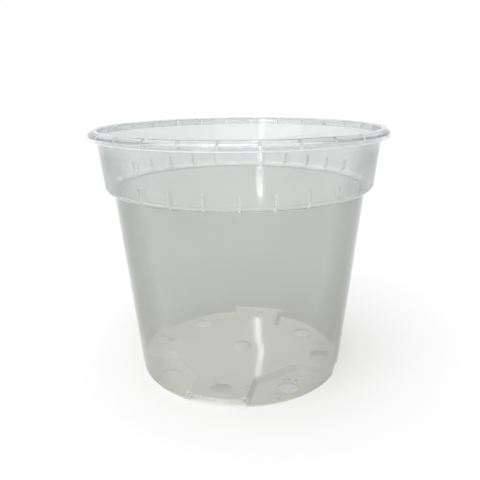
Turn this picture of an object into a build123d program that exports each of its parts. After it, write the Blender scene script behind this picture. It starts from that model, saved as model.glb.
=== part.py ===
"""Clear orchid pot with a stepped collar, a ribbed lip and a drained, four-footed base.

The pot is a single thin moulding. Each region of it is a closed solid of its own, and the
regions meet face to face. Millimetres, +Z up, origin on the axis in the plane of the feet.
Two drain channels cross under the floor along X and Y, with one foot in each quarter.
"""
import math
import os

from build123d import *

os.makedirs("parts", exist_ok=True)

# Overall envelope
rim_diameter = 150.0
pot_height = 129.0
step_height = 99.0

# Moulded thicknesses, measured level on walls and upright on floors
wall = 1.0
floor_thickness = 1.0
ledge_thickness = 1.2

# From the rim inwards: skirt groove, collar taper, ledge and body taper, all measured level
groove_width = 2.6
collar_taper = 2.9
ledge_width = 4.0
body_taper = 9.5

# Step between the body and the collar
step_flat = 0.7
step_round = 0.6

# Lip with a crowned top and a hanging skirt
lip_crest_inset = 2.4
lip_crown = 1.5
skirt_depth = 4.4
lip_round = 0.9
lip_edge_round = 0.3

# Small ribs, one count for both rows
rib_count = 28
rim_rib_width = 1.1
rim_rib_setback = 0.4
step_rib_width = 1.3
step_rib_height = 7.0
step_rib_setback = 0.7

# Drain holes: one on each arm of the raised floor and one in each foot
drain_diameter = 10.0
drain_wall_gap = 4.3

# Base: raised cross floor over two drain channels, and four sunk feet
channel_height = 3.75
arm_margin = 9.0
corner_margin = 6.5
pocket_round = 3.0
pocket_draft = 20.0
heel_round = 2.0

# Dished dome over the moulding gate, in the middle of the floor
gate_diameter = 13.0
gate_rise = 2.2

# Seams between neighbouring regions, as clearances from the bends that they pass
seam_clearance = 0.6

rim_radius = rim_diameter / 2
skirt_bore = rim_radius - wall
collar_top_radius = skirt_bore - groove_width
collar_base_radius = collar_top_radius - collar_taper
step_radius = collar_base_radius - ledge_width
foot_radius = step_radius - body_taper
shoulder_round = ledge_width - step_flat

drain_radius = drain_diameter / 2
drain_circle = foot_radius - wall - drain_wall_gap - drain_radius
corner_reach = drain_circle - drain_radius - corner_margin
arm_half = drain_radius + arm_margin
gate_radius = gate_diameter / 2
rib_pitch = 360.0 / rib_count

floor_top = channel_height + floor_thickness
ledge_top = step_height + ledge_thickness
lip_shoulder = pot_height - lip_crown
skirt_bottom = pot_height - skirt_depth

base_seam = channel_height + heel_round + seam_clearance
step_seam = step_height - step_round - seam_clearance
collar_seam = step_height + max(shoulder_round, ledge_thickness) + seam_clearance
lip_seam = pot_height - wall


def body_radius(z):
    """Outside radius of the tapered body at height z."""
    return foot_radius + body_taper * z / step_height


def collar_radius(z):
    """Outside radius of the collar at height z."""
    return collar_base_radius + collar_taper * (z - step_height) / (pot_height - step_height)


def body_bore(z):
    """Inside radius of the body at height z."""
    return body_radius(z) - wall


def collar_bore(z):
    """Inside radius of the collar at height z."""
    return collar_radius(z) - wall


def round_corner(sketch, point, radius):
    """Rounds the corner of an open sketch that lies at the given point."""
    fillet(sketch.vertices().sort_by_distance(Vertex(*point)).first, radius)


def save(part, name):
    """Labels a finished region and writes it as its own file."""
    part.label = name
    export_step(part, f"parts/{name}.step")


def bowl_section(bottom, radius_at, heel):
    """Filled half section of the base, from a level bottom with a round heel up to the seam."""
    corner = (radius_at(bottom), bottom)
    with BuildSketch(Plane.XZ) as bowl:
        with BuildLine():
            Polyline(
                (0, bottom),
                corner,
                (radius_at(base_seam), base_seam),
                (0, base_seam),
                close=True,
            )
        make_face()
        round_corner(bowl, corner, heel)
    return bowl


def foot_plan(spread):
    """Plan of one foot at floor level, grown towards the arms by the given spread."""
    side = arm_half - spread
    cut = (corner_reach - spread) * math.sqrt(2) - side
    far = rim_radius
    with BuildSketch(Plane.XY.offset(floor_top)) as plan:
        with BuildLine():
            Polyline(
                (side, far),
                (side, cut),
                (cut, side),
                (far, side),
                (far, far),
                close=True,
            )
        make_face()
        round_corner(plan, (side, cut), pocket_round + spread)
        round_corner(plan, (cut, side), pocket_round + spread)
    return plan


# Tapered body wall
with BuildPart() as body_wall:
    with BuildSketch(Plane.XZ):
        with BuildLine():
            Polyline(
                (body_radius(base_seam), base_seam),
                (body_radius(step_seam), step_seam),
                (body_bore(step_seam), step_seam),
                (body_bore(base_seam), base_seam),
                close=True,
            )
        make_face()
    revolve(axis=Axis.Z)
save(body_wall.part, "body_wall")

# Step that carries the body out to the collar, level ledge inside and round shoulder outside
with BuildSketch(Plane.XZ) as step_section:
    shoulder = (collar_radius(step_height), step_height)
    inner_shoulder = (collar_bore(ledge_top), ledge_top)
    throat = (body_radius(step_height), step_height)
    ledge_edge = (body_bore(ledge_top), ledge_top)
    with BuildLine():
        Polyline(
            (body_radius(step_seam), step_seam),
            throat,
            shoulder,
            (collar_radius(collar_seam), collar_seam),
            (collar_bore(collar_seam), collar_seam),
            inner_shoulder,
            ledge_edge,
            (body_bore(step_seam), step_seam),
            close=True,
        )
    make_face()
    round_corner(step_section, throat, step_round)
    round_corner(step_section, ledge_edge, step_round)
    round_corner(step_section, shoulder, shoulder_round)
    round_corner(step_section, inner_shoulder, shoulder_round - wall)
with BuildPart() as step_ledge:
    revolve(step_section.sketch, axis=Axis.Z)
save(step_ledge.part, "step_ledge")

# Collar wall between the step and the lip
with BuildSketch(Plane.XZ) as collar_section:
    with BuildLine():
        Polyline(
            (collar_radius(collar_seam), collar_seam),
            (collar_radius(lip_seam), lip_seam),
            (collar_bore(lip_seam), lip_seam),
            (collar_bore(collar_seam), collar_seam),
            close=True,
        )
    make_face()
with BuildPart() as collar_wall:
    revolve(collar_section.sketch, axis=Axis.Z)
save(collar_wall.part, "collar_wall")

# Lip: crowned top that turns down into a skirt around the collar
with BuildSketch(Plane.XZ) as lip_section:
    mouth = (collar_bore(pot_height), pot_height)
    crest = (rim_radius - lip_crest_inset, pot_height)
    lip_corner = (rim_radius, lip_shoulder)
    skirt_outer = (rim_radius, skirt_bottom)
    skirt_inner = (skirt_bore, skirt_bottom)
    with BuildLine():
        Polyline(
            (collar_bore(lip_seam), lip_seam),
            mouth,
            crest,
            lip_corner,
            skirt_outer,
            skirt_inner,
            (skirt_bore, lip_shoulder - wall),
            (collar_radius(lip_seam), lip_seam),
            close=True,
        )
    make_face()
    round_corner(lip_section, mouth, lip_round)
    round_corner(lip_section, crest, lip_round)
    round_corner(lip_section, lip_corner, lip_round)
    round_corner(lip_section, skirt_outer, lip_edge_round)
    round_corner(lip_section, skirt_inner, lip_edge_round)
with BuildPart() as rim_lip:
    revolve(lip_section.sketch, axis=Axis.Z)
save(rim_lip.part, "rim_lip")

# Ribs in the groove between the skirt and the collar
with BuildSketch(Plane.XZ) as rim_rib_section:
    rib_bottom = skirt_bottom + rim_rib_setback
    with BuildLine():
        Polyline(
            (collar_radius(rib_bottom) - wall / 2, rib_bottom),
            (rim_radius - wall / 2, rib_bottom),
            (rim_radius - wall / 2, lip_shoulder - wall / 2),
            (collar_radius(lip_seam) - wall / 2, lip_seam + wall / 4),
            close=True,
        )
    make_face()
    add(lip_section.sketch_local, mode=Mode.SUBTRACT)
    add(collar_section.sketch_local, mode=Mode.SUBTRACT)
rim_rib_angle = math.degrees(rim_rib_width / rim_radius)
with BuildPart() as rim_rib:
    revolve(rim_rib_section.sketch, axis=Axis.Z, revolution_arc=rim_rib_angle)
with BuildPart() as rim_ribs:
    with PolarLocations(0, rib_count, start_angle=(rib_pitch - rim_rib_angle) / 2):
        add(rim_rib.part)
save(rim_ribs.part, "rim_ribs")

# Stacking ribs that stand on the ledge against the inside of the collar
with BuildSketch(Plane.XZ) as step_rib_section:
    rib_top = ledge_top + step_rib_height
    rib_depth = ledge_width - step_rib_setback
    with BuildLine():
        Polyline(
            (collar_bore(step_height) - rib_depth, step_height),
            (collar_bore(step_height) + wall / 2, step_height),
            (collar_bore(rib_top) + wall / 2, rib_top),
            (collar_bore(rib_top) - rib_depth, rib_top),
            close=True,
        )
    make_face()
    add(step_section.sketch_local, mode=Mode.SUBTRACT)
    add(collar_section.sketch_local, mode=Mode.SUBTRACT)
    keep = step_rib_section.faces().sort_by(Axis.Y).last
step_rib_angle = math.degrees(step_rib_width / collar_base_radius)
with BuildPart() as step_rib:
    revolve(Plane.XZ.from_local_coords(keep), axis=Axis.Z, revolution_arc=step_rib_angle)
with BuildPart() as step_ribs:
    with PolarLocations(0, rib_count, start_angle=-step_rib_angle / 2):
        add(step_rib.part)
save(step_ribs.part, "step_ribs")

# Filled shapes of the base that the floor and the feet are cut from
foot_shape = bowl_section(0, body_radius, heel_round)
foot_bore = bowl_section(floor_thickness, body_bore, heel_round - wall)
floor_shape = bowl_section(channel_height, body_radius, heel_round)
floor_bore = bowl_section(floor_top, body_bore, heel_round - wall)
outer_plan = foot_plan(wall)
pocket_plan = foot_plan(0)

with BuildPart() as foot_column:
    extrude(outer_plan.sketch, amount=-floor_top, taper=pocket_draft)
    extrude(outer_plan.sketch, amount=base_seam - floor_top)

with BuildPart() as pocket_column:
    extrude(pocket_plan.sketch, amount=-floor_top, taper=pocket_draft)
    extrude(pocket_plan.sketch, amount=base_seam - floor_top)
    bore = revolve(foot_bore.sketch, axis=Axis.Z, mode=Mode.PRIVATE)
    add(bore, mode=Mode.INTERSECT)

# One foot: sunk pad, drafted sides and the heel of the body wall
with BuildPart() as foot:
    revolve(foot_shape.sketch, axis=Axis.Z)
    add(foot_column.part, mode=Mode.INTERSECT)
    revolve(floor_bore.sketch, axis=Axis.Z, mode=Mode.SUBTRACT)
    add(pocket_column.part, mode=Mode.SUBTRACT)
    with BuildSketch(Plane.XY):
        with PolarLocations(drain_circle, 1, start_angle=45):
            Circle(drain_radius)
    extrude(amount=floor_thickness, mode=Mode.SUBTRACT)

for turn, place in enumerate(("back_right", "back_left", "front_left", "front_right")):
    with BuildPart() as turned_foot:
        with PolarLocations(0, 1, start_angle=90 * turn):
            add(foot.part)
    save(turned_foot.part, f"foot_{place}")

# Raised cross floor with its arms running out to the body wall
with BuildPart() as floor_cross:
    revolve(floor_shape.sketch, axis=Axis.Z)
    revolve(floor_bore.sketch, axis=Axis.Z, mode=Mode.SUBTRACT)
    with PolarLocations(0, 4):
        add(foot_column.part, mode=Mode.SUBTRACT)
    with BuildSketch(Plane.XY.offset(channel_height)):
        Circle(gate_radius)
        with PolarLocations(drain_circle, 4):
            Circle(drain_radius)
    extrude(amount=floor_thickness, mode=Mode.SUBTRACT)
save(floor_cross.part, "floor_cross")

# Gate dome, dished underneath
with BuildPart() as gate_dome:
    dome_radius = (gate_radius**2 + gate_rise**2) / (2 * gate_rise)
    with BuildSketch(Plane.XZ):
        with BuildLine():
            RadiusArc((0, floor_top + gate_rise), (gate_radius, floor_top), dome_radius)
            Line((gate_radius, floor_top), (gate_radius, channel_height))
            RadiusArc((gate_radius, channel_height), (0, channel_height + gate_rise), -dome_radius)
            Line((0, channel_height + gate_rise), (0, floor_top + gate_rise))
        make_face()
    revolve(axis=Axis.Z)
save(gate_dome.part, "gate_dome")
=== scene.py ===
"""Clear orchid pot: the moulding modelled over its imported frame, its plastic and its stage."""
import math

import bmesh
import bpy
from bpy.props import FloatProperty, FloatVectorProperty, IntProperty, PointerProperty
from mathutils import Matrix, Vector


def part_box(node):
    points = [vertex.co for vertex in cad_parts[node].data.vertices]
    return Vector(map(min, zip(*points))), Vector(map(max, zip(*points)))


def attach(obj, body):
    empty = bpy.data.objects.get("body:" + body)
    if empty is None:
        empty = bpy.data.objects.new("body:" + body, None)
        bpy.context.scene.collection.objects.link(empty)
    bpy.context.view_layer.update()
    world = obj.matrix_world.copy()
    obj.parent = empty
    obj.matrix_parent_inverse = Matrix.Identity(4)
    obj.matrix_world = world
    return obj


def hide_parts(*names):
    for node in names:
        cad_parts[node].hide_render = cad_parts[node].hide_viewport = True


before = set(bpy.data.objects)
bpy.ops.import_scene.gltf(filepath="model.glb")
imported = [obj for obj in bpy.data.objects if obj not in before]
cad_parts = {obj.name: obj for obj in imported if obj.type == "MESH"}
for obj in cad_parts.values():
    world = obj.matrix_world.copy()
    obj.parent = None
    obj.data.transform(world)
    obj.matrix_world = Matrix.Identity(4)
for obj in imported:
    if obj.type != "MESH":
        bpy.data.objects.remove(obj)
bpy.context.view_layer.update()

bl_info = {
    "name": "Clear orchid pot",
    "version": (1, 0, 0),
    "blender": (4, 5, 0),
    "location": "3D View > Sidebar > Orchid Pot",
    "description": "Models a clear moulded orchid pot over its packed frame and sets its stage",
    "category": "Object",
}

PIECE = "clear_pot"
MM = 0.001
MERGE = 0.001 * MM
SNAP = 0.01 * MM
EIGHTH = math.pi / 4
UNIT = (0.0, 1.0)
WHITE = (1.0, 1.0, 1.0)

LIP_LOW, LIP_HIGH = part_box("rim_lip")
FLOOR_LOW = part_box("floor_cross")[0]
GATE_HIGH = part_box("gate_dome")[1]
BODY_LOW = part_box("body_wall")[0]
STEP_RIB_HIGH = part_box("step_ribs")[1]

SPIN_PER_RIB = 8
ROUND_SEGMENTS = 5
HOLE_SEGMENTS = 48
HOLE_ROUND_INSET = 0.3
RIB_SEGMENTS = 2
GATE_RINGS = 7
SINK_RINGS = 8
SINK_MIDDLE = Vector((0, -8 * MM))
SINK_SPREAD = 0.5
CORNER_SPREAD = 1.6
RIM_RIB_ROUND = 0.12 * MM
STEP_RIB_ROUND = 0.2 * MM

# Finishes in the order of the mesh's material slots. EDGE, LIP and RIB are lighter copies of the
# one plastic, painted highlights on edges, bands and ribs.
BODY, FLOOR, EDGE, COLLAR, LIP, RISER, RIB = range(7)
SLACK = 0.2 * MM
HOLE_RIM_LEVEL = 0.95
FLOOR_LEVEL = 0.7
HEEL_LEVEL = 0.3
RIB_SIDE = 0.7
SHARP_ANGLE = math.radians(35)
FLAT_LEVEL = 0.9995
WALL_SHADOW = (0.82, 0.82, 0.81)
EDGE_SHADOW = (0.82, 0.82, 0.82)
FLOOR_SHADOW = (0.94, 0.94, 0.93)

PLASTIC_IOR = 1.49
CLOUD_TINT = (0.6, 0.6, 0.58)
HAZE_RANGE = (0.75, 1.25)
CLOUD_RANGE = (0.4, 0.7)
CLOUD_SHARES = (0.0, 0.1)
# Facing range over which the painted shade at the outlines comes in.
SLANT_RANGE = (0.4, 0.8)
RIPPLE_DEPTH = 0.2 * MM
UNROLL_RADIUS = 60 * MM
DUSTY_SIDE = Vector((1, -1, 0)).normalized()
DUSTY_RANGE = (20 * MM, 40 * MM)
DUSTY_SHARES = (0.1, 1.0)
SPECK_SHIFT = 1.2 * MM
SPECK_SIZES = (0.07, 0.26)

STRIP_TURN = math.radians(22.4)
STRIP_DISTANCE = 1.2
STRIP_SIZE = (0.12, 0.14)
STRIP_HEIGHTS = (0.13, 0.27)
STRIP_TOP_SHARE = 0.06
BACK_STRIP_PLACE = (-0.296, 1.593, 0.84)
BACK_STRIP_SIZE = (0.02, 0.26)
BACK_STRIP_POWER = 0.2
TOP_SOURCE = (-0.24, -0.2, 0.95)
FRONT_SOURCE = (0, -0.9, 0.42)
FRONT_TURN = math.radians(20)
WIDE_ANGLE = math.radians(90)
STAGE_RADIUS = 6.0
STAGE_SEGMENTS = 64
STAGE_ROUGHNESS = 0.9
SENSOR_WIDTH = 36.0
CLIP_START = 0.01


def length(name, description, default):
    """A size in metres that a user may change."""
    return FloatProperty(
        name=name,
        description=description,
        default=default,
        min=0.0,
        precision=5,
        subtype="DISTANCE",
        unit="LENGTH",
    )


def share(name, description, default, top=1.0):
    """A plain factor from nought to its top value."""
    return FloatProperty(name=name, description=description, default=default, min=0.0, max=top)


def rotation(name, description, degrees):
    """An angle, given in degrees and kept in radians."""
    return FloatProperty(
        name=name,
        description=description,
        default=math.radians(degrees),
        subtype="ANGLE",
        unit="ROTATION",
    )


def colour(name, description, default):
    """A linear colour."""
    return FloatVectorProperty(
        name=name,
        description=description,
        default=default,
        size=3,
        min=0.0,
        max=1.0,
        subtype="COLOR",
    )


class OrchidPotSizes(bpy.types.PropertyGroup):
    """Sizes of the moulding."""

    rim_radius: length("Rim radius", "Outside radius of the lip's skirt", LIP_HIGH.x)
    height: length("Height", "Feet to the crest of the lip", LIP_HIGH.z)
    skirt_bottom: length("Skirt bottom", "Height of the skirt's lower edge", LIP_LOW.z)
    step_height: length("Step height", "Height of the underside of the step", 99 * MM)
    wall: length("Wall", "Level thickness of the walls and the skirt", 1.0 * MM)
    floor_thickness: length("Floor thickness", "Upright thickness of the floor", 1.0 * MM)
    ledge_thickness: length("Ledge thickness", "Upright thickness of the step", 1.2 * MM)
    groove_width: length("Groove width", "Level gap between skirt and collar at the top", 2.6 * MM)
    collar_taper: length("Collar taper", "How far the collar leans out over its height", 2.9 * MM)
    ledge_width: length("Ledge width", "Level width of the step", 4.0 * MM)
    body_taper: length("Body taper", "How far the body leans out up to the step", 9.5 * MM)
    shoulder_round: length("Shoulder round", "Outside round of the step's shoulder", 3.3 * MM)
    step_round: length("Step round", "Small rounds at the step", 0.6 * MM)
    lip_crest_inset: length("Lip crest inset", "Rim to the crest of the lip", 2.4 * MM)
    lip_crown: length("Lip crown", "Drop from the crest to the rim's shoulder", 1.5 * MM)
    lip_round: length("Lip round", "Rounds of the lip's top", 0.9 * MM)
    edge_round: length("Edge round", "Rounds of thin edges and groove corners", 0.3 * MM)
    channel_height: length("Channel height", "Clear height of the drain channels", FLOOR_LOW.z)
    base_seam: length("Base seam", "Height where the plain body wall starts", BODY_LOW.z)
    arm_half: length("Arm half width", "Half the width of the raised floor's arms", 14 * MM)
    corner_reach: length("Corner reach", "Axis to the slanting side of a foot", 33.2 * MM)
    pocket_round: length("Pocket round", "Corner rounds of a foot in plan", 3.0 * MM)
    heel_round: length("Heel round", "Outside round where the wall meets the foot", 2.0 * MM)
    crease: length("Crease", "Half width of the soft edges along a foot's sides", 0.45 * MM)
    gate_radius: length("Gate radius", "Radius of the dome over the gate", GATE_HIGH.x)
    sink_depth: length("Sink depth", "How far the floor sinks round the gate", 0.16 * MM)
    sink_radius: length("Sink radius", "Reach of the sink round the gate", 28 * MM)
    drain_radius: length("Drain radius", "Radius of the drain holes", 5.0 * MM)
    drain_circle: length("Drain circle", "Axis to the middle of each drain hole", 44.7 * MM)
    rim_rib_width: length("Rim rib width", "Thickness of the ribs under the lip", 1.1 * MM)
    step_rib_width: length("Step rib width", "Thickness of the stacking ribs", 1.3 * MM)
    rib_setback: length("Rib setback", "Stacking rib to the edge of the ledge", 0.7 * MM)
    draft: rotation("Draft", "Lean of a foot's sides from upright", 20)
    rib_count: IntProperty(
        name="Rib count",
        description="Ribs in each of the two rows",
        default=28,
        min=4,
    )


class OrchidPotFinish(bpy.types.PropertyGroup):
    """Colours and levels of the plastic and its dust, with lighter copies of its colour that paint
    highlights and a dark slant tint that paints shade.
    """

    heel_tint: colour("Heel tint", "Colour of light low in the body", (0.69, 0.695, 0.662))
    body_tint: colour("Body tint", "The same at the top of the body", (0.67, 0.688, 0.672))
    collar_tint: colour("Collar tint", "The same in the collar", (0.775, 0.80, 0.795))
    foot_tint: colour("Foot tint", "Colour of the sunk feet", (0.925, 0.925, 0.868))
    cross_tint: colour("Cross tint", "Colour of the raised cross floor", (0.9, 0.905, 0.863))
    riser_tint: colour("Riser tint", "Colour of the feet's sides and heels", (0.88, 0.88, 0.84))
    # Skirt tint: a lighter copy of the plastic's colour than the walls', painted highlight on the
    # lip, the step's ledge and the heels at the channel mouths.
    skirt_highlight_tint: colour("Skirt tint", "Colour of the lip's skirt and crest", (0.85, 0.87, 0.88))
    # Edge tint: a lighter copy of the plastic's colour, painted highlight on the step's shoulder
    # and throat, the skirt's lower edge, the groove corners and the hole rims.
    edge_highlight_tint: colour("Edge tint", "Colour of the step's edges and hole rims", (0.86, 0.875, 0.88))
    # Rib tint: a lighter copy of the plastic's colour, painted highlight on the sides of the
    # stacking ribs.
    rib_highlight_tint: colour("Rib tint", "Colour of the sides of the step's ribs", (0.94, 0.96, 0.96))
    # Slant tint: painted shade at the outlines, where the walls are seen at a slant; only a little
    # of it is the longer way through the tinted plastic.
    slant_shade_tint: colour("Slant tint", "Colour of the long way along a wall", (0.08, 0.082, 0.08))
    dust: colour("Dust", "Dry bark dust, most of it in one foot", (0.34, 0.32, 0.275))
    wall_clarity: share("Wall clarity", "Light that goes straight through the walls", 0.9)
    floor_clarity: share("Floor clarity", "Light that goes straight through the floor", 0.3)
    riser_clarity: share("Riser clarity", "Light that goes straight through the risers", 0.42)
    skirt_clarity: share("Skirt clarity", "Light that goes straight through the skirt", 0.93)
    edge_clarity: share("Edge clarity", "Light that goes straight through the edges", 0.42)
    rib_clarity: share("Rib clarity", "Light that goes straight through rib sides", 0.78)
    gloss_roughness: share("Gloss roughness", "Roughness of the clearest plastic", 0.025)
    haze_roughness: share("Haze roughness", "Roughness of the haziest plastic", 0.06)


class OrchidPotStage(bpy.types.PropertyGroup):
    """Floor, light and camera."""

    floor: colour("Floor", "Colour of the floor", (0.9, 0.9, 0.9))
    ambient: share("Ambient", "Level of the even light from all round", 0.63)
    strip_power: FloatProperty(
        name="Strip power",
        description="Power of the upright strip light",
        default=1.5,
        unit="POWER",
    )
    top_power: share("Top power", "Level of the wide soft light overhead", 1.2, top=10.0)
    front_power: share("Front power", "Level of the wide soft light in front", 1.16, top=10.0)
    lens: FloatProperty(
        name="Lens",
        description="Focal length on a 36 mm sensor",
        default=39.81,
        unit="CAMERA",
    )
    distance: length("Distance", "Camera to the pot's axis, level", 276.5 * MM)
    eye_height: length("Eye height", "Camera above the floor", 149.7 * MM)
    azimuth: rotation("Azimuth", "Turn of the camera round the pot, to its right", 12.97)
    pitch: rotation("Pitch", "Tilt of the camera below the level", 16.43)
    roll: rotation("Roll", "Roll of the camera about its line of sight", -0.62)


def body_radius(s, z):
    """Outside radius of the body at height z."""
    step_radius = collar_radius(s, s.step_height) - s.ledge_width
    return step_radius - s.body_taper * (s.step_height - z) / s.step_height


def collar_radius(s, z):
    """Outside radius of the collar at height z."""
    top = s.rim_radius - s.wall - s.groove_width
    return top - s.collar_taper * (s.height - z) / (s.height - s.step_height)


def floor_rings(s, z):
    """Rings across the gate and the sink round it, so that the floor can bend there."""
    gate = [(s.gate_radius * i / GATE_RINGS, z, 0) for i in range(GATE_RINGS + 1)]
    start, pitch = s.gate_radius + s.crease, s.sink_radius / SINK_RINGS
    return gate + [(start + i * pitch, z, 0) for i in range(SINK_RINGS)]


def outer_profile(s):
    """Corners of the outer skin with their rounds, from the gate to just inside the mouth."""
    lip_seam = s.height - s.wall
    shoulder = s.height - s.lip_crown
    skirt_bore = s.rim_radius - s.wall
    return floor_rings(s, 0) + [
        (body_radius(s, 0), 0, s.heel_round),
        (body_radius(s, s.base_seam), s.base_seam, 0),
        (body_radius(s, s.step_height), s.step_height, s.step_round),
        (collar_radius(s, s.step_height), s.step_height, s.shoulder_round),
        (collar_radius(s, lip_seam), lip_seam, s.edge_round),
        (skirt_bore, shoulder - s.wall, s.edge_round),
        (skirt_bore, s.skirt_bottom, s.edge_round),
        (s.rim_radius, s.skirt_bottom, s.edge_round),
        (s.rim_radius, shoulder, s.lip_round),
        (s.rim_radius - s.lip_crest_inset, s.height, s.lip_round),
        (collar_radius(s, s.height) - s.wall, s.height, s.lip_round),
        (collar_radius(s, lip_seam) - s.wall, lip_seam, 0),
    ]


def inner_profile(s):
    """Corners of the inner skin with their rounds, from the gate to just inside the mouth."""
    lip_seam = s.height - s.wall
    ledge_top = s.step_height + s.ledge_thickness
    top = s.floor_thickness
    return floor_rings(s, top) + [
        (body_radius(s, top) - s.wall, top, s.heel_round - s.wall),
        (body_radius(s, s.base_seam) - s.wall, s.base_seam, 0),
        (body_radius(s, ledge_top) - s.wall, ledge_top, s.step_round),
        (collar_radius(s, ledge_top) - s.wall, ledge_top, s.shoulder_round - s.wall),
        (collar_radius(s, lip_seam) - s.wall, lip_seam, 0),
    ]


def draw_profile(bm, corners):
    """Draws a line through corners of a radius and a height each."""
    verts = [bm.verts.new((r, 0, z)) for r, z in corners]
    for a, b in zip(verts, verts[1:]):
        bm.edges.new((a, b))
    return verts


def turn_round(bm, steps):
    """Spins a profile once round the upright axis and closes the seam."""
    bmesh.ops.spin(
        bm,
        geom=bm.verts[:] + bm.edges[:],
        cent=(0, 0, 0),
        axis=(0, 0, 1),
        angle=2 * math.pi,
        steps=steps,
        use_merge=True,
    )
    bmesh.ops.remove_doubles(bm, verts=bm.verts[:], dist=MERGE)


def add_part(bm, part):
    """Copies one bmesh into another and frees the first."""
    mesh = bpy.data.meshes.new("part")
    part.to_mesh(mesh)
    part.free()
    bm.from_mesh(mesh)
    bpy.data.meshes.remove(mesh)


def spin_skin(s, profile):
    """Draws a profile, rounds its corners and spins it into a skin of revolution."""
    bm = bmesh.new()
    verts = draw_profile(bm, [(r, z) for r, z, _ in profile])
    points = [v.co.copy() for v in verts]
    for i, (_, _, radius) in enumerate(profile):
        if radius > 0:
            turn = (points[i] - points[i - 1]).angle(points[i + 1] - points[i])
            bmesh.ops.bevel(
                bm,
                geom=[verts[i]],
                offset=radius * math.tan(turn / 2),
                offset_type="OFFSET",
                segments=ROUND_SEGMENTS,
                profile=0.5,
                affect="VERTICES",
                material=-1,
                clamp_overlap=False,
            )
    turn_round(bm, s.rib_count * SPIN_PER_RIB)
    return bm


def wedge_distance(u, v):
    """Distance to a corner of two sides whose outward normals are 45 degrees apart."""
    lean = math.cos(EIGHTH)
    if u > v * lean and v > u * lean:
        return math.sqrt(u * u + v * v - 2 * u * v * lean) / math.sin(EIGHTH)
    return max(u, v)


def pocket_depth(s, x, y):
    """Level distance into the nearest foot from its top edge, negative on the raised floor."""
    x, y = abs(x), abs(y)
    slant = s.pocket_round + s.corner_reach - (x + y) / math.sqrt(2)
    sides = [s.pocket_round + s.arm_half - side for side in (x, y)]
    return s.pocket_round - max(wedge_distance(side, slant) for side in sides)


def soft_ramp(value, soft):
    """Nought below zero and the value itself above, with a soft bend between."""
    if abs(value) < soft:
        return (value + soft) ** 2 / (4 * soft)
    return max(value, 0.0)


def raised_share(s, depth):
    """How much of the channel height a point keeps: one on the cross, nought in a foot."""
    run = s.channel_height * math.tan(s.draft)
    return 1 - (soft_ramp(depth, s.crease) - soft_ramp(depth - run, s.crease)) / run


def foot_sides(s):
    """Direction and reach of each side of the feet, and the place and size of what it cuts."""
    corner_x = s.arm_half + s.pocket_round
    corner_y = math.sqrt(2) * (s.corner_reach + s.pocket_round) - corner_x
    corner = Vector((corner_x, corner_y, 0))
    foot = Vector((1, 1, 0)).normalized() * (s.corner_reach + s.pocket_round)
    turns = [Matrix.Rotation(quarter * math.pi / 2, 3, "Z") for quarter in range(4)]
    for turn in turns:
        yield turn @ Vector((1, 0, 0)), s.arm_half, Vector(), s.rim_radius
    for turn in turns:
        near = (corner - foot).length + s.pocket_round
        yield turn @ foot.normalized(), s.corner_reach, turn @ foot, near
    for turn in turns:
        for middle, angle in ((corner, EIGHTH / 2), (corner.yxz, 3 * EIGHTH / 2)):
            normal = Vector((math.cos(angle), math.sin(angle), 0))
            reach = normal.dot(middle) - s.pocket_round
            yield turn @ normal, reach, turn @ middle, CORNER_SPREAD * s.pocket_round


def base_faces(s, bm):
    """Faces of the floor, the heels and the wall below the base seam."""
    top = s.base_seam + SNAP
    return [f for f in bm.faces if all(v.co.z < top for v in f.verts)]


def crease_base(s, bm, start):
    """Cuts the base along the soft edges of the feet, so that they bend where they should."""
    run = s.channel_height * math.tan(s.draft)
    bends = (-s.crease, -s.crease / 3, s.crease / 3, s.crease)
    levels = [start + bend for bend in bends] + [start + run + bend for bend in bends]
    for normal, reach, middle, near in foot_sides(s):
        for level in levels:
            # The keys of a dict keep their order, so that each run cuts in the same way.
            geom = {}
            for f in base_faces(s, bm):
                if any((v.co.xy - middle.xy).length < near for v in f.verts):
                    geom.update(dict.fromkeys((f, *f.edges, *f.verts)))
            bmesh.ops.bisect_plane(
                bm,
                geom=list(geom),
                dist=SNAP,
                plane_co=normal * (reach + level),
                plane_no=normal,
            )


def raise_cross(s, bm, bottom, start, heel_top):
    """Lifts the cross floor off the feet, domes the gate and sinks the floor round it."""
    rise = GATE_HIGH.z - s.channel_height - s.floor_thickness
    dome = (s.gate_radius**2 + rise**2) / (2 * rise)
    taper = s.body_taper / s.step_height
    heel_start = min(
        math.hypot(v.co.x, v.co.y)
        for v in bm.verts
        if bottom + SNAP < v.co.z < s.base_seam - SNAP
    )
    for v in bm.verts:
        if v.co.z > s.base_seam - SNAP:
            continue
        radius = math.hypot(v.co.x, v.co.y)
        lift = s.channel_height * raised_share(s, pocket_depth(s, v.co.x, v.co.y) - start)
        if v.co.z > heel_top:
            lift *= (s.base_seam - v.co.z) / (s.base_seam - heel_top)
        if radius > heel_start - s.crease:
            v.co.xy *= 1 + taper * lift / radius
        if radius < s.gate_radius:
            lift += math.sqrt(dome**2 - radius**2) - (dome - rise)
        sink = (v.co.xy - SINK_MIDDLE).length / (SINK_SPREAD * s.sink_radius)
        lift -= s.sink_depth * math.exp(-sink * sink)
        v.co.z += lift


def new_piece(name, bm):
    """Turns a finished bmesh into an object of its own."""
    mesh = bpy.data.meshes.new(name)
    bm.to_mesh(mesh)
    bm.free()
    piece = bpy.data.objects.new(name, mesh)
    bpy.context.scene.collection.objects.link(piece)
    return piece


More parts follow.
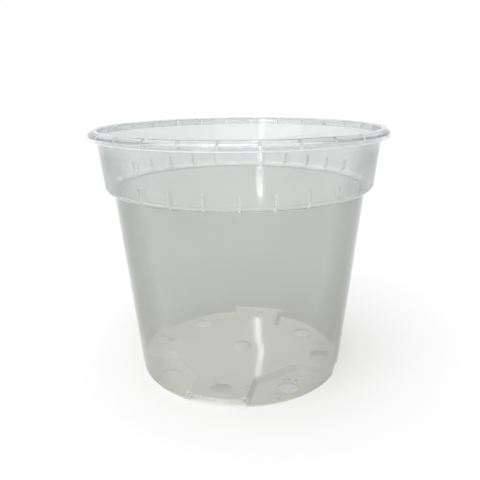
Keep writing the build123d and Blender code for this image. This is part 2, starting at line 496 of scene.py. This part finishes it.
def combine(piece, tool, operation):
    """Joins a tool to a piece, or cuts it out, and deletes the tool."""
    modifier = piece.modifiers.new(operation.title(), "BOOLEAN")
    modifier.object = tool
    modifier.operation = operation
    modifier.solver = "MANIFOLD"
    depsgraph = bpy.context.evaluated_depsgraph_get()
    mesh = bpy.data.meshes.new_from_object(piece.evaluated_get(depsgraph))
    if len(mesh.polygons) == 0:
        raise RuntimeError(f"nothing is left of {piece.name} after its {operation.lower()}")
    piece.modifiers.clear()
    old = piece.data
    piece.data = mesh
    mesh.name = piece.name
    bpy.data.meshes.remove(old)
    bpy.data.objects.remove(tool)


def split_wide_faces(mesh):
    """Splits faces of many sides into neat triangles, without needles along their edges."""
    bm = bmesh.new()
    bm.from_mesh(mesh)
    wide = [f for f in bm.faces if len(f.verts) > 4]
    bmesh.ops.triangulate(bm, faces=wide, ngon_method="BEAUTY")
    bmesh.ops.dissolve_degenerate(bm, dist=MERGE, edges=bm.edges[:])
    if any(not e.is_manifold for e in bm.edges):
        raise RuntimeError("the pot isn't closed")
    bm.to_mesh(mesh)
    bm.free()


def rib_row(s, name, outline, width, first_angle, soft):
    """A ring of thin ribs, each extruded from an outline in the plane through the axis."""
    bm = bmesh.new()
    verts = [bm.verts.new((r, -width / 2, z)) for r, z in outline]
    face = bm.faces.new(verts)
    made = bmesh.ops.extrude_face_region(bm, geom=[face])
    moved = [v for v in made["geom"] if isinstance(v, bmesh.types.BMVert)]
    bmesh.ops.translate(bm, verts=moved, vec=(0, width, 0))
    bmesh.ops.recalc_face_normals(bm, faces=bm.faces[:])
    bmesh.ops.bevel(
        bm,
        geom=bm.edges[:],
        offset=soft,
        offset_type="OFFSET",
        segments=RIB_SEGMENTS,
        profile=0.5,
        affect="EDGES",
        material=-1,
    )
    seed = bm.verts[:] + bm.edges[:] + bm.faces[:]
    turn = 2 * math.pi / s.rib_count
    bmesh.ops.rotate(bm, verts=bm.verts[:], matrix=Matrix.Rotation(first_angle, 3, "Z"))
    for i in range(1, s.rib_count):
        copy = bmesh.ops.duplicate(bm, geom=seed)
        bmesh.ops.rotate(
            bm,
            verts=[v for v in copy["geom"] if isinstance(v, bmesh.types.BMVert)],
            matrix=Matrix.Rotation(i * turn, 3, "Z"),
        )
    return new_piece(name, bm)


class ORCHIDPOT_OT_shell(bpy.types.Operator):
    """Model the moulded shell: lip, collar, step, body and footed floor in one skin"""

    bl_idname = "orchidpot.shell"
    bl_label = "Model Shell"
    bl_options = {"REGISTER", "UNDO"}

    def execute(self, context):
        s = context.scene.orchid_pot_sizes
        outside_start = s.floor_thickness * math.tan(s.draft) - s.wall
        skins = (
            (outer_profile(s), 0.0, outside_start),
            (inner_profile(s), s.floor_thickness, 0.0),
        )
        shell = bmesh.new()
        for profile, bottom, start in skins:
            skin = spin_skin(s, profile)
            heel_top = max(v.co.z for v in skin.verts if v.co.z < s.base_seam - SNAP)
            crease_base(s, skin, start)
            raise_cross(s, skin, bottom, start, heel_top)
            add_part(shell, skin)
        bmesh.ops.remove_doubles(shell, verts=shell.verts[:], dist=MERGE)
        bmesh.ops.recalc_face_normals(shell, faces=shell.faces[:])
        if any(not e.is_manifold for e in shell.edges):
            raise RuntimeError("the shell isn't closed")
        new_piece(PIECE, shell)
        return {"FINISHED"}


class ORCHIDPOT_OT_rim_ribs(bpy.types.Operator):
    """Add the ribs in the groove between the skirt and the collar"""

    bl_idname = "orchidpot.rim_ribs"
    bl_label = "Add Rim Ribs"
    bl_options = {"REGISTER", "UNDO"}

    def execute(self, context):
        s = context.scene.orchid_pot_sizes
        low = s.skirt_bottom + s.edge_round
        lip_seam = s.height - s.wall
        skirt_middle = s.rim_radius - s.wall / 2
        outline = (
            (collar_radius(s, low) - s.wall / 2, low),
            (skirt_middle, low),
            (skirt_middle, s.height - s.lip_crown - s.wall / 2),
            (collar_radius(s, lip_seam) - s.wall / 2, lip_seam + s.wall / 4),
        )
        half_pitch = math.pi / s.rib_count
        ribs = rib_row(s, "rim_ribs_tool", outline, s.rim_rib_width, half_pitch, RIM_RIB_ROUND)
        combine(bpy.data.objects[PIECE], ribs, "UNION")
        return {"FINISHED"}


class ORCHIDPOT_OT_step_ribs(bpy.types.Operator):
    """Add the stacking ribs that stand on the ledge inside the collar"""

    bl_idname = "orchidpot.step_ribs"
    bl_label = "Add Stacking Ribs"
    bl_options = {"REGISTER", "UNDO"}

    def execute(self, context):
        s = context.scene.orchid_pot_sizes
        low = s.step_height + s.ledge_thickness / 2
        high = STEP_RIB_HIGH.z
        depth = s.ledge_width - s.rib_setback
        back_low = collar_radius(s, low) - s.wall / 2
        back_high = collar_radius(s, high) - s.wall / 2
        cut = s.shoulder_round - s.wall
        outline = (
            (back_low - s.wall / 2 - depth, low),
            (back_low - cut, low),
            (back_low, low + cut),
            (back_high, high),
            (back_high - s.wall / 2 - depth, high),
        )
        ribs = rib_row(s, "step_ribs_tool", outline, s.step_rib_width, 0.0, STEP_RIB_ROUND)
        combine(bpy.data.objects[PIECE], ribs, "UNION")
        return {"FINISHED"}


class ORCHIDPOT_OT_drains(bpy.types.Operator):
    """Cut the round drain holes through the arms of the floor and through the feet"""

    bl_idname = "orchidpot.drains"
    bl_label = "Cut Drain Holes"
    bl_options = {"REGISTER", "UNDO"}

    def execute(self, context):
        s = context.scene.orchid_pot_sizes
        bm = bmesh.new()
        for eighth in range(8):
            low = s.channel_height if eighth % 2 == 0 else 0.0
            middle = low + s.floor_thickness / 2
            place = Matrix.Rotation(eighth * EIGHTH, 4, "Z")
            place @= Matrix.Translation((s.drain_circle, 0, middle))
            reach = s.floor_thickness / 2 + SNAP
            soft = s.edge_round
            inset = HOLE_ROUND_INSET * soft
            rings = (
                (s.drain_radius + soft, -2 * reach),
                (s.drain_radius + soft, -reach),
                (s.drain_radius + inset, -reach + inset),
                (s.drain_radius, -reach + soft),
            )
            hole = bmesh.new()
            points = list(rings) + [(r, -z) for r, z in reversed(rings)]
            points = [(0, points[0][1])] + points + [(0, points[-1][1])]
            draw_profile(hole, points)
            turn_round(hole, HOLE_SEGMENTS)
            bmesh.ops.recalc_face_normals(hole, faces=hole.faces[:])
            bmesh.ops.transform(hole, verts=hole.verts[:], matrix=place)
            add_part(bm, hole)
        drains = new_piece("drains_tool", bm)
        pot = bpy.data.objects[PIECE]
        combine(pot, drains, "DIFFERENCE")
        split_wide_faces(pot.data)
        return {"FINISHED"}


VECTOR = {"Vector": ("NodeSocketVector", (0.0, 0.0, 0.0))}
# Places of the colour sockets of a Mix node, which share their names with others.
MIX_FIRST, MIX_SECOND, MIX_RESULT = 6, 7, 2


def add_node(tree, kind, **inputs):
    """Adds a shader node and sets its plain inputs by name."""
    node = tree.nodes.new(kind)
    for name, value in inputs.items():
        node.inputs[name.replace("_", " ")].default_value = value
    return node


def feed(tree, socket, value):
    """Links a socket to another, or sets it to a plain value."""
    if isinstance(value, bpy.types.NodeSocket):
        tree.links.new(value, socket)
    else:
        socket.default_value = value


def math_node(tree, operation, first, second):
    """A maths node whose inputs are sockets or plain numbers."""
    node = tree.nodes.new("ShaderNodeMath")
    node.operation = operation
    for socket, value in zip(node.inputs, (first, second)):
        feed(tree, socket, value)
    return node.outputs[0]


def new_group(name, inputs, outputs):
    """An empty shader node group with named sockets, and its input and output ends."""
    group = bpy.data.node_groups.new(name, "ShaderNodeTree")
    for label, (kind, default) in inputs.items():
        socket = group.interface.new_socket(label, in_out="INPUT", socket_type=kind)
        socket.default_value = default
    for label, kind in outputs.items():
        group.interface.new_socket(label, in_out="OUTPUT", socket_type=kind)
    ends = group.nodes.new("NodeGroupInput").outputs, group.nodes.new("NodeGroupOutput").inputs
    return group, *ends


def map_range(tree, value, start, end):
    """Maps one range of a value onto another and clamps it there."""
    node = tree.nodes.new("ShaderNodeMapRange")
    for label, number in zip(("From Min", "From Max", "To Min", "To Max"), (*start, *end)):
        node.inputs[label].default_value = number
    tree.links.new(value, node.inputs["Value"])
    return node.outputs["Result"]


def mix_colour(tree, factor, first, second):
    """Mixes two colours, each a socket or a plain colour."""
    node = tree.nodes.new("ShaderNodeMix")
    node.data_type = "RGBA"
    tree.links.new(factor, node.inputs["Factor"])
    feed(tree, node.inputs[MIX_FIRST], first)
    feed(tree, node.inputs[MIX_SECOND], second)
    return node.outputs[MIX_RESULT]


def place_group(tree, group, vector):
    """Puts a group into a material and feeds it the surface's own coordinates."""
    node = tree.nodes.new("ShaderNodeGroup")
    node.node_tree = group
    tree.links.new(vector, node.inputs["Vector"])
    return node


def flow_haze_group():
    """Upright flow lines, cloudy haze and the change of tint with height in a moulding."""
    heights = {"Low": ("NodeSocketFloat", 0.0), "High": ("NodeSocketFloat", 1.0)}
    labels = ("Haze", "Height", "Clouds", "Rise")
    outputs = {label: "NodeSocketFloat" for label in labels}
    group, given, put = new_group("flow haze", {**VECTOR, **heights}, outputs)
    link = group.links.new
    stretch = add_node(group, "ShaderNodeMapping", Scale=(1.0, 1.0, 0.1))
    link(given["Vector"], stretch.inputs["Vector"])
    lines = add_node(group, "ShaderNodeTexNoise", Scale=90.0, Detail=2.0, Roughness=0.5)
    link(stretch.outputs["Vector"], lines.inputs["Vector"])
    clouds = add_node(group, "ShaderNodeTexNoise", Scale=35.0, Detail=3.0, Roughness=0.55)
    link(given["Vector"], clouds.inputs["Vector"])
    both = math_node(group, "ADD", lines.outputs["Fac"], clouds.outputs["Fac"])
    link(map_range(group, both, HAZE_RANGE, UNIT), put["Haze"])
    link(lines.outputs["Fac"], put["Height"])
    link(map_range(group, clouds.outputs["Fac"], CLOUD_RANGE, CLOUD_SHARES), put["Clouds"])
    split = group.nodes.new("ShaderNodeSeparateXYZ")
    link(given["Vector"], split.inputs["Vector"])
    rise = group.nodes.new("ShaderNodeMapRange")
    link(split.outputs["Z"], rise.inputs["Value"])
    link(given["Low"], rise.inputs["From Min"])
    link(given["High"], rise.inputs["From Max"])
    link(rise.outputs["Result"], put["Rise"])
    return group


def bark_dust_group():
    """Scattered specks of dry bark, ragged in outline and most of them on one side."""
    inputs = {**VECTOR, "Share": ("NodeSocketFloat", 0.1), "Size": ("NodeSocketFloat", 1.0)}
    group, given, put = new_group("bark dust", inputs, {"Specks": "NodeSocketFloat"})
    link = group.links.new
    wobble = add_node(group, "ShaderNodeTexNoise", Scale=900.0, Detail=2.0)
    link(given["Vector"], wobble.inputs["Vector"])
    shift = group.nodes.new("ShaderNodeVectorMath")
    shift.operation = "MULTIPLY_ADD"
    link(wobble.outputs["Color"], shift.inputs[0])
    shift.inputs[1].default_value = (SPECK_SHIFT, SPECK_SHIFT, SPECK_SHIFT)
    link(given["Vector"], shift.inputs[2])
    cells = add_node(group, "ShaderNodeTexVoronoi", Scale=380.0)
    cells.voronoi_dimensions = "2D"
    link(shift.outputs["Vector"], cells.inputs["Vector"])
    pick = group.nodes.new("ShaderNodeSeparateColor")
    link(cells.outputs["Color"], pick.inputs["Color"])
    side = group.nodes.new("ShaderNodeVectorMath")
    side.operation = "DOT_PRODUCT"
    link(given["Vector"], side.inputs[0])
    side.inputs[1].default_value = DUSTY_SIDE
    gathered = map_range(group, side.outputs["Value"], DUSTY_RANGE, DUSTY_SHARES)
    density = math_node(group, "MULTIPLY", gathered, given["Share"])
    chosen = math_node(group, "LESS_THAN", pick.outputs["Red"], density)
    uneven = math_node(group, "MULTIPLY", pick.outputs["Green"], pick.outputs["Green"])
    size = map_range(group, uneven, UNIT, SPECK_SIZES)
    size = math_node(group, "MULTIPLY", size, given["Size"])
    near = math_node(group, "LESS_THAN", cells.outputs["Distance"], size)
    link(math_node(group, "MULTIPLY", chosen, near), put["Specks"])
    return group


def unrolled(tree, coords):
    """Coordinates along a wall: the way round it and the height."""
    split = tree.nodes.new("ShaderNodeSeparateXYZ")
    tree.links.new(coords, split.inputs["Vector"])
    turn = math_node(tree, "ARCTAN2", split.outputs["Y"], split.outputs["X"])
    join = tree.nodes.new("ShaderNodeCombineXYZ")
    tree.links.new(math_node(tree, "MULTIPLY", turn, UNROLL_RADIUS), join.inputs["X"])
    tree.links.new(split.outputs["Z"], join.inputs["Y"])
    return join.outputs["Vector"]


def moulded_plastic(name, look, f, haze, dust):
    """Clear moulded polypropylene of one finish: tinted, slightly hazy and a little dusty, with
    painted shade where a wall is seen at a slant.
    """
    material = bpy.data.materials.new(name)
    material.use_nodes = True
    tree = material.node_tree
    tree.nodes.clear()
    link = tree.links.new
    coords = tree.nodes.new("ShaderNodeTexCoord").outputs["Object"]
    hazed = place_group(tree, haze, coords)
    hazed.inputs["Low"].default_value, hazed.inputs["High"].default_value = look["heights"]
    flow = hazed.outputs
    flat = unrolled(tree, coords) if look["upright"] else coords
    dusted = place_group(tree, dust, flat)
    link(map_range(tree, flow["Rise"], UNIT, look["dust_shares"]), dusted.inputs["Share"])
    dusted.inputs["Size"].default_value = look["dust_size"]
    specks = dusted.outputs["Specks"]
    plastic = add_node(
        tree,
        "ShaderNodeBsdfPrincipled",
        IOR=PLASTIC_IOR,
        Transmission_Weight=look["clarity"],
    )

    low_tint, high_tint = look["tints"]
    tinted = mix_colour(tree, flow["Rise"], (*low_tint, 1.0), (*high_tint, 1.0))
    clouded = mix_colour(tree, flow["Clouds"], tinted, (*CLOUD_TINT, 1.0))
    dusty = mix_colour(tree, specks, clouded, (*f.dust, 1.0))
    # Painted shade: the base colour darkens towards the slant tint where the surface is seen at a
    # slant, scaled by height through the finish's slant shades.
    slant = add_node(tree, "ShaderNodeLayerWeight", Blend=0.5).outputs["Facing"]
    depth = map_range(tree, flow["Rise"], UNIT, look["slant_shades"])
    along = math_node(tree, "MULTIPLY", map_range(tree, slant, SLANT_RANGE, UNIT), depth)
    link(mix_colour(tree, along, dusty, (*f.slant_shade_tint, 1.0)), plastic.inputs["Base Color"])

    rough = map_range(tree, flow["Haze"], UNIT, (f.gloss_roughness, f.haze_roughness))
    link(rough, plastic.inputs["Roughness"])
    bump = add_node(tree, "ShaderNodeBump", Strength=look["ripple"], Distance=RIPPLE_DEPTH)
    link(flow["Height"], bump.inputs["Height"])
    link(bump.outputs["Normal"], plastic.inputs["Normal"])

    through = add_node(tree, "ShaderNodeBsdfTransparent", Color=(*look["shadow"], 1.0))
    path = tree.nodes.new("ShaderNodeLightPath")
    mix = tree.nodes.new("ShaderNodeMixShader")
    link(path.outputs["Is Shadow Ray"], mix.inputs["Fac"])
    link(plastic.outputs["BSDF"], mix.inputs[1])
    link(through.outputs["BSDF"], mix.inputs[2])
    output = tree.nodes.new("ShaderNodeOutputMaterial")
    link(mix.outputs["Shader"], output.inputs["Surface"])
    return material


def finish_index(s, centre, normal):
    """Which finish a face takes, by its place and by how level it is."""
    radius, z, level = centre.xy.length, centre.z, abs(normal.z)
    ledge_top = s.step_height + s.ledge_thickness
    if z < GATE_HIGH.z + SLACK and radius < body_radius(s, 0) - s.heel_round - SLACK:
        turn = round(math.atan2(centre.y, centre.x) / EIGHTH) * EIGHTH
        drain = Matrix.Rotation(turn, 3, "Z") @ Vector((s.drain_circle, 0, z))
        near = (centre - drain).length < s.drain_radius + s.edge_round + SLACK
        # Hole rims take the edge finish with its painted highlight.
        if near and level < HOLE_RIM_LEVEL:
            return EDGE
        return FLOOR if level > FLOOR_LEVEL and radius > s.gate_radius else RISER
    if z < s.base_seam - SLACK:
        # Heels at the channel mouths take the lip finish, a painted highlight.
        mouth = -s.wall - s.crease < pocket_depth(s, centre.x, centre.y) < 2 * s.wall
        if level > HEEL_LEVEL:
            return RISER
        return LIP if mouth else BODY
    if s.step_height - SLACK < z < ledge_top + SLACK:
        shoulder = radius > body_radius(s, z) and z < s.step_height + 2 * SLACK
        throat = radius < body_radius(s, z) and z > s.step_height
        return EDGE if shoulder or throat else LIP
    if z > s.height - s.lip_crown - 3 * SLACK:
        crest = abs(radius - s.rim_radius + s.lip_crest_inset) < 1.5 * SLACK
        shoulder = radius > s.rim_radius - 2.5 * SLACK
        return LIP if crest or shoulder else COLLAR
    if radius > s.rim_radius - s.wall - SLACK:
        return EDGE if z < s.skirt_bottom + s.edge_round + SLACK else LIP
    if ledge_top < z < STEP_RIB_HIGH.z + SLACK and radius < collar_radius(s, z) - s.wall - SLACK:
        # Rib sides take the rib finish with its painted highlight; their fronts take the riser
        # finish.
        sideways = abs(normal.y * centre.x - normal.x * centre.y) > RIB_SIDE * radius
        return RIB if sideways else RISER
    if z > s.skirt_bottom and radius > collar_radius(s, z) + SLACK:
        return EDGE
    return COLLAR if z > ledge_top else BODY


def sharpen_flats(s, mesh):
    """Keeps the level floor flat in shading, where thin faces meet its soft edges."""
    bm = bmesh.new()
    bm.from_mesh(mesh)
    for edge in bm.edges:
        if edge.verts[0].co.z < s.base_seam and edge.verts[1].co.z < s.base_seam:
            level = {abs(face.normal.z) > FLAT_LEVEL for face in edge.link_faces}
            edge.smooth = edge.smooth and len(level) == 1
    bm.to_mesh(mesh)
    bm.free()


PLAIN_LOOK = {
    "heights": UNIT,
    "slant_shades": (0.0, 0.0),
    "shadow": WALL_SHADOW,
    "ripple": 0.05,
    "upright": True,
    "dust_shares": (0.0, 0.0),
    "dust_size": 1.0,
}


def finish_looks(s, f):
    """What each finish adds to the plain look, in the order of their numbers."""
    return {
        "clear wall": {
            "tints": (f.heel_tint, f.body_tint),
            "heights": (20 * MM, 90 * MM),
            "clarity": f.wall_clarity,
            "slant_shades": (0.55, 0.55),
            "dust_shares": (0.003, 0.001),
            "dust_size": 0.6,
        },
        "satin floor": {
            "tints": (f.foot_tint, f.cross_tint),
            "heights": (1 * MM, 4 * MM),
            "clarity": f.floor_clarity,
            "shadow": FLOOR_SHADOW,
            "ripple": 0.01,
            "upright": False,
            "dust_shares": (0.34, 0.012),
        },
        # Painted highlight: edges take a lighter tint and more haze than the walls.
        "edge with painted highlight": {
            "tints": (f.edge_highlight_tint, f.edge_highlight_tint),
            "clarity": f.edge_clarity,
            "shadow": EDGE_SHADOW,
        },
        "clear collar": {
            "tints": (f.collar_tint, f.collar_tint),
            "heights": (s.skirt_bottom - 6 * MM, s.skirt_bottom),
            "clarity": f.wall_clarity,
            "slant_shades": (0.65, 0.0),
            "dust_shares": (0.001, 0.001),
            "dust_size": 0.7,
        },
        # Painted highlight: the lip, the step's ledge and the heels at the channel mouths take
        # this lighter tint.
        "clear skirt with painted highlight": {
            "tints": (f.skirt_highlight_tint, f.skirt_highlight_tint),
            "clarity": f.skirt_clarity,
        },
        "satin riser": {
            "tints": (f.riser_tint, f.riser_tint),
            "clarity": f.riser_clarity,
            "shadow": FLOOR_SHADOW,
            "ripple": 0.02,
        },
        # Painted highlight: the stacking ribs' sides take a near-white tint.
        "rib side with painted highlight": {
            "tints": (f.rib_highlight_tint, f.rib_highlight_tint),
            "clarity": f.rib_clarity,
            "ripple": 0.02,
        },
    }


class ORCHIDPOT_OT_finish(bpy.types.Operator):
    """Give the moulding its plastic and tie it to the frame"""

    bl_idname = "orchidpot.finish"
    bl_label = "Finish Plastic"
    bl_options = {"REGISTER", "UNDO"}

    def execute(self, context):
        pot = bpy.data.objects[PIECE]
        s = context.scene.orchid_pot_sizes
        f = context.scene.orchid_pot_finish
        haze, dust = flow_haze_group(), bark_dust_group()
        pot.data.materials.clear()
        for name, look in finish_looks(s, f).items():
            look = {**PLAIN_LOOK, **look}
            pot.data.materials.append(moulded_plastic(name, look, f, haze, dust))
        for face in pot.data.polygons:
            face.use_smooth = True
            face.material_index = finish_index(s, face.center, face.normal)
        pot.data.set_sharp_from_angle(angle=SHARP_ANGLE)
        sharpen_flats(s, pot.data)
        weighted = pot.modifiers.new("Weighted Normal", "WEIGHTED_NORMAL")
        weighted.keep_sharp = True
        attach(pot, "root")
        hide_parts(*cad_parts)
        return {"FINISHED"}


def picture_rays(tree):
    """One for rays that make the picture: seen straight, mirrored or through clear plastic."""
    path = tree.nodes.new("ShaderNodeLightPath").outputs
    seen = math_node(tree, "MAXIMUM", path["Is Camera Ray"], path["Is Glossy Ray"])
    return math_node(tree, "MAXIMUM", seen, path["Is Transmission Ray"])


def floor_material(g):
    """Plain pale floor that the lights bring to white and that keeps the shadow."""
    material = bpy.data.materials.new("pale floor")
    material.use_nodes = True
    surface = material.node_tree.nodes["Principled BSDF"]
    surface.inputs["Base Color"].default_value = (*g.floor, 1.0)
    surface.inputs["Roughness"].default_value = STAGE_ROUGHNESS
    return material


def white_world(g):
    """Even light from all round, white where the picture shows it."""
    world = bpy.data.worlds.new("white room")
    world.use_nodes = True
    tree = world.node_tree
    background = tree.nodes["Background"]
    background.inputs["Color"].default_value = (*WHITE, 1.0)
    lit = math_node(tree, "MULTIPLY", picture_rays(tree), 1.0 - g.ambient)
    tree.links.new(math_node(tree, "ADD", lit, g.ambient), background.inputs["Strength"])
    bpy.context.scene.world = world


def area_light(name, place, target, size, power):
    """A rectangular soft light that faces a point."""
    data = bpy.data.lights.new(name, "AREA")
    data.shape = "RECTANGLE"
    data.size, data.size_y = size
    data.energy = power
    light = bpy.data.objects.new(name, data)
    light.location = place
    light.rotation_euler = (Vector(target) - Vector(place)).to_track_quat("-Z", "Y").to_euler()
    bpy.context.scene.collection.objects.link(light)


def wide_light(name, source, power):
    """A very soft light that comes from a wide patch of the room round one direction."""
    data = bpy.data.lights.new(name, "SUN")
    data.energy = power
    data.angle = WIDE_ANGLE
    light = bpy.data.objects.new(name, data)
    light.rotation_euler = (-Vector(source)).to_track_quat("-Z", "Y").to_euler()
    bpy.context.scene.collection.objects.link(light)


class ORCHIDPOT_OT_stage(bpy.types.Operator):
    """Set the floor, the soft lights and the camera"""

    bl_idname = "orchidpot.stage"
    bl_label = "Set Stage"
    bl_options = {"REGISTER", "UNDO"}

    def execute(self, context):
        g = context.scene.orchid_pot_stage
        bm = bmesh.new()
        bmesh.ops.create_circle(bm, cap_ends=True, segments=STAGE_SEGMENTS, radius=STAGE_RADIUS)
        floor = new_piece("floor", bm)
        floor.data.materials.append(floor_material(g))
        white_world(g)

        turn = g.azimuth - STRIP_TURN
        strip_place = Vector((math.sin(turn), -math.cos(turn), 0.0)) * STRIP_DISTANCE
        powers = (g.strip_power, STRIP_TOP_SHARE * g.strip_power)
        for name, height, power in zip(("strip", "strip top"), STRIP_HEIGHTS, powers):
            strip_place.z = height
            area_light(name, strip_place, (0, 0, height), STRIP_SIZE, power)
        area_light("back strip", BACK_STRIP_PLACE, (0, 0, 0), BACK_STRIP_SIZE, BACK_STRIP_POWER)
        wide_light("top", TOP_SOURCE, g.top_power)
        front = Matrix.Rotation(g.azimuth - FRONT_TURN, 3, "Z") @ Vector(FRONT_SOURCE)
        wide_light("front", front, g.front_power)

        data = bpy.data.cameras.new("camera")
        data.lens = g.lens
        data.sensor_width = SENSOR_WIDTH
        data.clip_start = CLIP_START
        camera = bpy.data.objects.new("camera", data)
        camera.matrix_world = (
            Matrix.Rotation(g.azimuth, 4, "Z")
            @ Matrix.Translation((0, -g.distance, g.eye_height))
            @ Matrix.Rotation(math.pi / 2 - g.pitch, 4, "X")
            @ Matrix.Rotation(g.roll, 4, "Z")
        )
        context.scene.collection.objects.link(camera)
        context.scene.camera = camera
        context.scene.view_settings.view_transform = "Standard"
        return {"FINISHED"}


class ORCHIDPOT_PT_sidebar(bpy.types.Panel):
    """Sizes, finish, stage and the steps that make the pot"""

    bl_label = "Orchid Pot"
    bl_space_type = "VIEW_3D"
    bl_region_type = "UI"
    bl_category = "Orchid Pot"

    def draw(self, context):
        for group in (
            context.scene.orchid_pot_sizes,
            context.scene.orchid_pot_finish,
            context.scene.orchid_pot_stage,
        ):
            column = self.layout.column(align=True)
            for name in group.__annotations__:
                column.prop(group, name)
        column = self.layout.column(align=True)
        for step in STEPS:
            column.operator(step.bl_idname)


STEPS = (
    ORCHIDPOT_OT_shell,
    ORCHIDPOT_OT_rim_ribs,
    ORCHIDPOT_OT_step_ribs,
    ORCHIDPOT_OT_drains,
    ORCHIDPOT_OT_finish,
    ORCHIDPOT_OT_stage,
)
GROUPS = {
    "orchid_pot_sizes": OrchidPotSizes,
    "orchid_pot_finish": OrchidPotFinish,
    "orchid_pot_stage": OrchidPotStage,
}
CLASSES = (*GROUPS.values(), *STEPS, ORCHIDPOT_PT_sidebar)


def register():
    for cls in CLASSES:
        bpy.utils.register_class(cls)
    for name, group in GROUPS.items():
        setattr(bpy.types.Scene, name, PointerProperty(type=group))


def unregister():
    for name in GROUPS:
        delattr(bpy.types.Scene, name)
    for cls in reversed(CLASSES):
        bpy.utils.unregister_class(cls)


def main():
    """Registers the add-on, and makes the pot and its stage."""
    register()
    bpy.ops.orchidpot.shell()
    bpy.ops.orchidpot.rim_ribs()
    bpy.ops.orchidpot.step_ribs()
    bpy.ops.orchidpot.drains()
    bpy.ops.orchidpot.finish()
    bpy.ops.orchidpot.stage()


if __name__ == "__main__":
    main()
